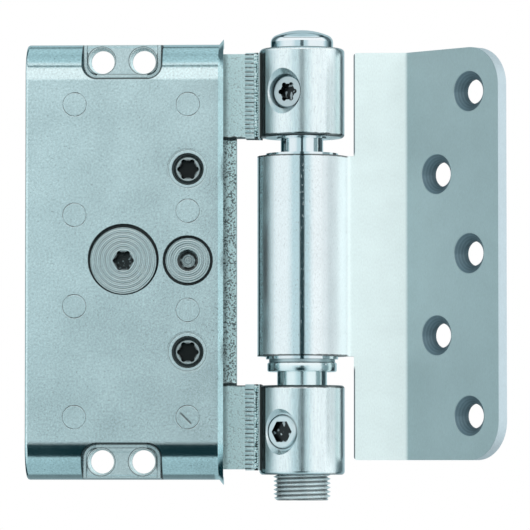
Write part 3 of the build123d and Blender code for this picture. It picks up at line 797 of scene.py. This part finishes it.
# %% Marks on the turned ends, the screws and the pads
def turned_marks(x, z, pitch, bottom):
    """Turning rings round a centre, and painted shade in the socket and round the face; pitch and bottom
    are in mm.
    """

    def marks(graph, place):
        px, py, pz = graph.apart(place)
        away = distance(px - x, pz - z)
        warped = away + (graph.noise(place, 3 * mm, detail=1, seed=2) - 0.5) * (0.25 * mm)
        wave = (warped * (tau / (pitch * mm))).math("SINE")
        coarse = (warped * (tau / (2.7 * pitch * mm))).math("SINE")
        beside = away.over(turned_socket, 0.1 * mm)
        below = py.over(turned_face, 0.1 * mm)
        # Painted shade in the socket and over its mouth on the face, with painted glints.
        inside = (1 - beside) * below * (1 - (1 - away.over(bottom * mm, 0.15 * mm)) * 0.6)
        socket_shade = (1 - away.over(turned_socket - 0.3 * mm, 0.15 * mm)) * (1 - below)
        glints = graph.noise(place, 0.9 * mm, detail=1, seed=11).over(0.61, 0.03)
        inside = (inside * (1 - glints * 0.4)).largest(socket_shade * 0.75)
        # Painted shade in the gap behind the face, round the turned end.
        rim = beside * py.over(turned_face + 0.25 * mm, 0.1 * mm)
        shade = (1 + wave * 0.07 + coarse * 0.06) * (1 - inside.largest(rim) * 0.93)
        return shade, wave * 0.8 + coarse * 0.8, 0.0
    return marks


def clamp_marks(graph, place):
    """Painted shade makes the socket of each clamp screw a dark pit, and darkens the face over its mouth.
    """
    px, py, pz = graph.apart(place)
    away = nearest(px, pz, clamps)
    # Painted shade in the socket and over its mouth.
    inside = (1 - away.over(2.6 * mm, 0.1 * mm)) * py.over(-6.58 * mm, 0.1 * mm)
    socket_shade = (1 - away.over(2.25 * mm, 0.15 * mm)) * 0.7
    return 1 - (inside * 0.95).largest(socket_shade), 0.0, 0.0


def block_marks(graph, place):
    """Painted shade: thin dark lines round the pad, along its step, round each hole and at its ends, and
    a gap.
    """
    px, py, pz = graph.apart(place)
    away = from_notch(px, pz)
    hole = from_hole(px, pz)
    # Painted shade in every line below, and in the gap behind the face.
    rim = away.over(-0.4 * mm, 0.1 * mm)
    step = circle_line(away, -1.15 * mm, 0.17 * mm)
    ring = circle_line(hole, 3.3 * mm, 0.2 * mm)
    end = abs(pz).over(cover_high.z - 1.55 * mm, 0.12 * mm)
    gap = py.over(-4.75 * mm, 0.3 * mm) * hole.over(3.5 * mm, 0.2 * mm)
    lines = (rim * 0.8).largest(step * 0.55).largest(ring * 0.75).largest(end * 0.5).largest(gap * 0.6)
    return 1 - lines, lines * -3, 0.0


def block_metal(graph, place):
    """The drilled walls are rough and scatter light."""
    px, _, pz = graph.apart(place)
    return 0.8 - (1 - from_hole(px, pz).over(3.22 * mm, 0.05 * mm)) * 0.7


print("receiver has all its marks")

# %% Receiver finishes
cover_finish = plated("cover_zinc", (0.705, 0.87, 0.893), 0.24, cloud=0.34, cloud_cell=10, grain=0.55,
                      grain_cell=0.5, relief=0.01, metal=cover_metal, marks=cover_marks)
dress(cover_finish, "receiver_cover", "rivet_posts")
insert_finish = plated("insert_zinc", (0.737, 0.90, 0.92), 0.24, cloud=0.1, grain=0.5, grain_cell=0.5,
                       metal=0.8, marks=insert_marks)
dress(insert_finish, "upper_clamp_nut", "lower_clamp_nut")
block_finish = plated("block_zinc", (0.715, 0.863, 0.882), 0.26, cloud=0.1, grain=0.5, grain_cell=0.5,
                      metal=block_metal, marks=block_marks)
dress(block_finish, "upper_fixing_block", "lower_fixing_block")
dress(plated("plain_zinc", (0.58, 0.70, 0.73), 0.4), "receiver_base", "thrust_washer")
for node, name, centre, pitch, bottom in (("eccentric_adjuster", "turned_adjuster", adjuster, 0.42, 0.0),
                                          ("guide_pin", "turned_guide", guide, 0.5, 1.5)):
    turned = turned_marks(centre.x, centre.z, pitch, bottom)
    dress(plated(name, (0.72, 0.82, 0.825), 0.26, grain=0.08, relief=0.006, marks=turned), node)
clamp_finish = plated("clamp_steel", (0.66, 0.73, 0.73), 0.3, marks=clamp_marks)
dress(clamp_finish, "upper_clamp_screw", "lower_clamp_screw")
print("receiver dressed")

# %% [markdown]
# The carrier and the knuckles
#
# The carrier is cut from plate. Its web keeps a coarse pitted skin, while the arms were ground. The
# knuckles and the pin are turned from bar and plated bright, so they are the smoothest metal here,
# and the drilled holes in them stay dark because hardly any light finds its way back out.

# %% Marks on the carrier and its welds
arm_edge = 29.3 * mm
knuckle_end = 49.8 * mm
dark_band_x = -9.25 * mm
groove_x = -10.6 * mm


def on_arms(z):
    """1 on the carrier's two arms, 0 on the web between them."""
    return abs(z).over(arm_edge, 0.3 * mm)


def comb_marks(x, z):
    """1 in the gaps between the ripples, where shade is painted, 0 elsewhere."""
    gaps = 1 - ((abs(z) - arm_low) / ripple_step).math("PINGPONG", 0.5).over(0.12, 0.1)
    beside = abs(x - ripple_x * mm).over(ripple_half * mm, 0.15 * mm)
    return gaps * (1 - beside) * on_arms(z)


def web_marks(graph, place):
    """The web is cut plate, darker and grainy; the arms have specks and the comb; the rest is painted
    shade.
    """
    x, _, z = graph.apart(place)
    arm = on_arms(z)
    web = 1 - arm
    pits = graph.noise(place, 0.36 * mm, detail=2, seed=4)
    coarse = pits.over(0.55, 0.06)
    blotch = graph.noise(place, 3.0 * mm, detail=2, seed=9)
    # Painted shadow under the cover's lip.
    lip_shadow = 1 - x.over(-17.6 * mm, 0.9 * mm)
    specks = graph.noise(place, 0.4 * mm, detail=1, seed=7).over(0.60, 0.06) * arm
    # Painted shade in the gaps between the weld's ripples.
    comb = comb_marks(x, z)
    # Painted shade on the arms beside the knuckle.
    knuckle_side_shade = 1 - x.over(-11.0 * mm, 0.2 * mm) * arm * 0.8
    # Painted shadow along each arm's foot, where it meets the web, with a ragged edge.
    ragged = (graph.noise(place, 1.4 * mm, detail=2, seed=14) - 0.5) * (0.9 * mm)
    arm_foot_shadow = (1 - abs(abs(z) - (arm_edge - 0.45 * mm) + ragged).over(0.42 * mm, 0.2 * mm)) * 0.88
    pits_and_lip_shadow = (1 - web * (coarse * 0.75 + (blotch - 0.45) * 0.5)) * (1 - lip_shadow * 0.5)
    shade = pits_and_lip_shadow * (1 - specks * 0.25) * (1 - comb) * knuckle_side_shade * (1 - arm_foot_shadow)
    return shade, web * pits * 6.0 - specks * 2 - comb * 4, web * 0.1


def weld_marks(graph, place):
    """Painted shade up each weld: dark lines in a groove, in the corner at the knuckle and in the comb's
    gaps.
    """
    px, _, pz = graph.apart(place)
    comb = comb_marks(px, pz)
    wander = (graph.noise(place, 1.5 * mm, detail=2, seed=2) - 0.5) * (0.4 * mm)
    # Painted shade in the groove, which the bump also sinks.
    groove = 1 - abs(px + wander - groove_x).over(0.45 * mm, 0.15 * mm)
    ends = graph.noise(place, 0.8 * mm, detail=1, seed=21).over(0.42, 0.1)
    # Painted shade in the corner at the knuckle.
    weld_corner_shade = px.over(-9.85 * mm, 0.12 * mm)
    dark = (groove * 0.94).largest(comb * (0.45 + ends * 0.45)).largest(weld_corner_shade * 0.93)
    return 1 - dark, groove * -2.0 - comb * 2, groove * 0.2


print("carrier and welds have their marks")

# %% Marks on the knuckles and the set screws
def knuckle_marks(graph, place):
    """Painted shade in drilled holes and on rims, a painted dark reflection by the weld; the skin has
    flecks.
    """
    px, py, pz = graph.apart(place)
    up = abs(pz)
    away = distance(px, py)
    # Painted shade inside the drilled holes.
    inside = 1 - away.over(8.9 * mm, 0.3 * mm)
    ends = up.over(arm_edge, 0.05 * mm) * (1 - up.over(knuckle_end, 0.05 * mm))
    # A painted dark reflection in a band beside the weld.
    dark_reflection_band = (1 - abs(px - dark_band_x).over(0.9 * mm, 0.12 * mm)) * (1 - py.over(0.0, 1.0 * mm))
    dark_reflection_band = dark_reflection_band * (1 - up.over(knuckle_end - 1.0 * mm, 0.5 * mm))
    worked = px.over(-8.4 * mm, 0.1 * mm) * (1 - px.over(-5.6 * mm, 1.2 * mm))
    worked = worked.largest(px.over(6.0 * mm, 2.0 * mm) * 0.4)
    specks = graph.noise(place, 0.4 * mm, detail=1, seed=15).over(0.66, 0.04)
    flecks = graph.noise(place, 0.5 * mm, detail=2, stretch=(1, 1, 3), seed=6).over(0.68, 0.05)
    ragged = (graph.noise(place, 1.2 * mm, detail=2, seed=12) - 0.5) * (0.5 * mm)
    # Painted shade along the top and lower rims.
    top_rim = up.over(knuckle_end - 0.05 * mm, 0.1 * mm) * away.over(8.6 * mm, 0.3 * mm)
    lower_rim = 1 - (up + ragged).over(arm_edge + 0.45 * mm, 0.15 * mm)
    rim_shade = (top_rim * 0.6).largest(lower_rim * 0.8) * away.over(9.2 * mm, 0.3 * mm)
    dark = (inside * ends * 0.3).largest(dark_reflection_band * 0.97).largest(rim_shade)
    shade = (1 - dark) * (1 - flecks * 0.08) * (1 - specks * 0.1)
    return shade, flecks * -1.0 - specks, dark_reflection_band * 0.1 + worked * 0.16


def knuckle_metal(graph, place):
    """The side towards the leaf is duller."""
    px, _, _ = graph.apart(place)
    return 1 - px.over(5.9 * mm, 1.8 * mm) * (1 - px.over(8.0 * mm, 0.6 * mm)) * 0.4


def screw_marks(turn_degrees, z, face, socket):
    """A set screw's socket in painted shade round the screw's own line, with painted glints; all but the
    turn are in mm.
    """
    out_x, out_y = -sin(radians(turn_degrees)), -cos(radians(turn_degrees))

    def marks(graph, place):
        px, py, pz = graph.apart(place)
        out = px * out_x + py * out_y
        side = px * -out_y + py * out_x
        away = distance(side, pz - z * mm)
        # Painted shade in the socket, with painted glints.
        inside = (1 - away.over(socket * mm, 0.1 * mm)) * (1 - out.over((face - 0.12) * mm, 0.1 * mm))
        # Painted shade on the screw outside its edge.
        edge = away.over(3.75 * mm, 0.1 * mm)
        glints = graph.noise(place, 1.1 * mm, detail=1, seed=z).over(0.60, 0.03)
        return (1 - inside * (0.95 - glints * 0.6)) * (1 - edge * 0.4), 0.0, 0.0
    return marks


print("knuckles and screws have their marks")

# %% Carrier finishes
carrier_finish = plated("carrier_zinc", (0.70, 0.90, 0.91), 0.3, grain=0.5, grain_cell=0.35, relief=0.008,
                        metal=0.8, marks=web_marks)
dress(carrier_finish, "carrier_plate")
weld_finish = plated("weld_zinc", (0.62, 0.75, 0.76), 0.3, grain=0.25, grain_cell=0.4, relief=0.01,
                     marks=weld_marks)
dress(weld_finish, "upper_weld", "lower_weld")
knuckle_finish = plated("knuckle_zinc", (0.87, 0.96, 0.98), 0.22, cloud=0.08, grain=0.3, grain_cell=0.4,
                        grain_stretch=(1, 1, 6), relief=0.002, rough_cloud=0.04,
                        metal=knuckle_metal, marks=knuckle_marks)
dress(knuckle_finish, "upper_knuckle", "lower_knuckle")
pin_finish = plated("pin_zinc", (0.86, 0.92, 0.95), 0.10, cloud=0.06, grain=0.04, relief=0.0015,
                    rough_cloud=0.04)
dress(pin_finish, "hinge_pin", "pin_sleeve", "upper_bearing_bush", "lower_bearing_bush", "height_bush")
# One steel in two tones: the upper screw's darker colour is painted shade, the lower one's lighter colour
# painted light.
for node, name, colour, place in (
        ("upper_set_screw", "upper_screw_steel", (0.52, 0.62, 0.65), (25.5, 39.55, 7.3, 2.45)),
        ("lower_set_screw", "lower_screw_steel", (0.68, 0.80, 0.83), (30.0, -40.0, 9.0, 2.7))):
    dress(plated(name, colour, 0.3, marks=screw_marks(*place)), node)
print("carrier dressed")

# %% [markdown]
# The leaf
#
# The leaf is one sheet: rolled round the pin, flat beside it, and bent forwards. The rolled part was
# burnished by the rolls and is as bright as the knuckles. The flat parts were ground and keep a satin
# skin that scatters light, so there the finish is only partly metal, least on the strip beside the
# pin; the panel's colour, darker than the strip's, is painted shade. Five countersinks were cut
# after the grinding, and their cones' darker colour, darkest towards each hole, is painted shade.

# %% Leaf finish
leaf_rise = 1.2 * mm
tab_left = 12.2 * mm
flange = 0.65 * mm
barrel_middle = (middle("upper_bearing_bush").z + middle("lower_bearing_bush").z) / 2
barrel_span = corners("upper_bearing_bush")[1].z - corners("lower_bearing_bush")[0].z
barrel_half = barrel_span / 2 - flange
crease_x, crease_y = 24.65 * mm, -1.5 * mm
bend = radians(42.5)
hole_columns = (19.6 * mm, 9.4 * mm)
hole_pitch = 18.8 * mm
sink_radius = 4.9 * mm
cutter_pitch = 0.5 * mm
leaf_holes = [(hole_columns[0], step * hole_pitch) for step in (-2, 0, 2)]
leaf_holes += [(hole_columns[1], step * hole_pitch) for step in (-1, 1)]


def leaf_finish_graph():
    """Satin flats, a burnished roll and dark countersinks in one material."""
    material, graph, place = new_finish("leaf_zinc")
    px, py, pz = graph.apart(place)
    rolled = 1 - distance(px, py).over(10.9 * mm, 0.5 * mm)
    along = (px - crease_x) * cos(bend) - (py - crease_y) * sin(bend)
    depth = (px - crease_x) * sin(bend) + (py - crease_y) * cos(bend)
    panel = along.over(0.0, 0.7 * mm)
    away = nearest(along, pz - leaf_rise, leaf_holes)
    below = depth.over(0.12 * mm, 0.08 * mm)
    sink = (1 - away.over(sink_radius, 0.15 * mm)) * below * panel
    edge = panel * below * (1 - sink)
    worked = px.over(-8.9 * mm, 0.1 * mm) * (1 - px.over(-6.0 * mm, 1.2 * mm))
    worked = worked.largest(px.over(4.5 * mm, 2.0 * mm))
    clouds = graph.noise(place, 6 * mm, detail=4, seed=9)
    grains = graph.noise(place, 0.3 * mm, detail=2, stretch=(1, 1, 2))
    flecks = graph.noise(place, 0.45 * mm, detail=2, stretch=(1, 1, 2), seed=6).over(0.67, 0.05)
    flecks = flecks * rolled
    ragged = (graph.noise(place, 1.0 * mm, detail=2, seed=12) - 0.5) * (0.3 * mm)
    # Painted shade along the rolled barrel's two ends.
    rim_shade = rolled * abs(pz - barrel_middle + ragged).over(barrel_half - 0.35 * mm, 0.12 * mm)
    shade = (1 + (clouds - 0.5) * 0.12 + (grains - 0.5) * 0.2) * (1 - flecks * 0.1) * (1 - rim_shade * 0.8)
    # A painted dark reflection along the leaf's left edge, above and below the barrel.
    side_dark_reflection = 1 - px.over(tab_left + 0.28 * mm, 0.08 * mm)
    side_dark_reflection = side_dark_reflection * (1 - rolled) * abs(pz).over(25 * mm, 1 * mm)
    rings = (away * (tau / cutter_pitch)).math("SINE") * 0.12
    # Painted shade in the countersinks, darkest towards each hole; the rings are the cutter's.
    paler = (0.5 + rings + (away - 3.5 * mm) * 200).clamp()
    cone_tone = graph.mix(paler, (0.05, 0.09, 0.11, 1), (0.17, 0.27, 0.32, 1))
    # The panel's colour is darker than the strip's: painted shade, as the panel is turned from the light.
    tone = graph.mix(panel, (0.82, 0.945, 0.94, 1), (0.42, 0.545, 0.565, 1))
    tone = graph.mix(side_dark_reflection, tone, (0.10, 0.14, 0.16, 1))
    tone = graph.mix(edge, tone, (0.535, 0.64, 0.69, 1))
    tone = graph.mix(sink, tone, cone_tone)
    tone = graph.mix(rolled, tone, (0.88, 0.94, 0.96, 1))
    roll_metal = rolled * (1 - px.over(6.4 * mm, 2.4 * mm) * 0.42)
    metal = (0.4 + (panel - edge - sink) * 0.45).largest(roll_metal)
    gloss = 0.46 - rolled * 0.35 + rolled * worked * 0.24
    close_finish(graph, graph.vector("SCALE", tone, shade), metal, gloss, grains - flecks * 2, 0.003)
    return material


dress(leaf_finish_graph(), "leaf")
print("finishes:", len(bpy.data.materials))

# %% Done
print("the scene is built")
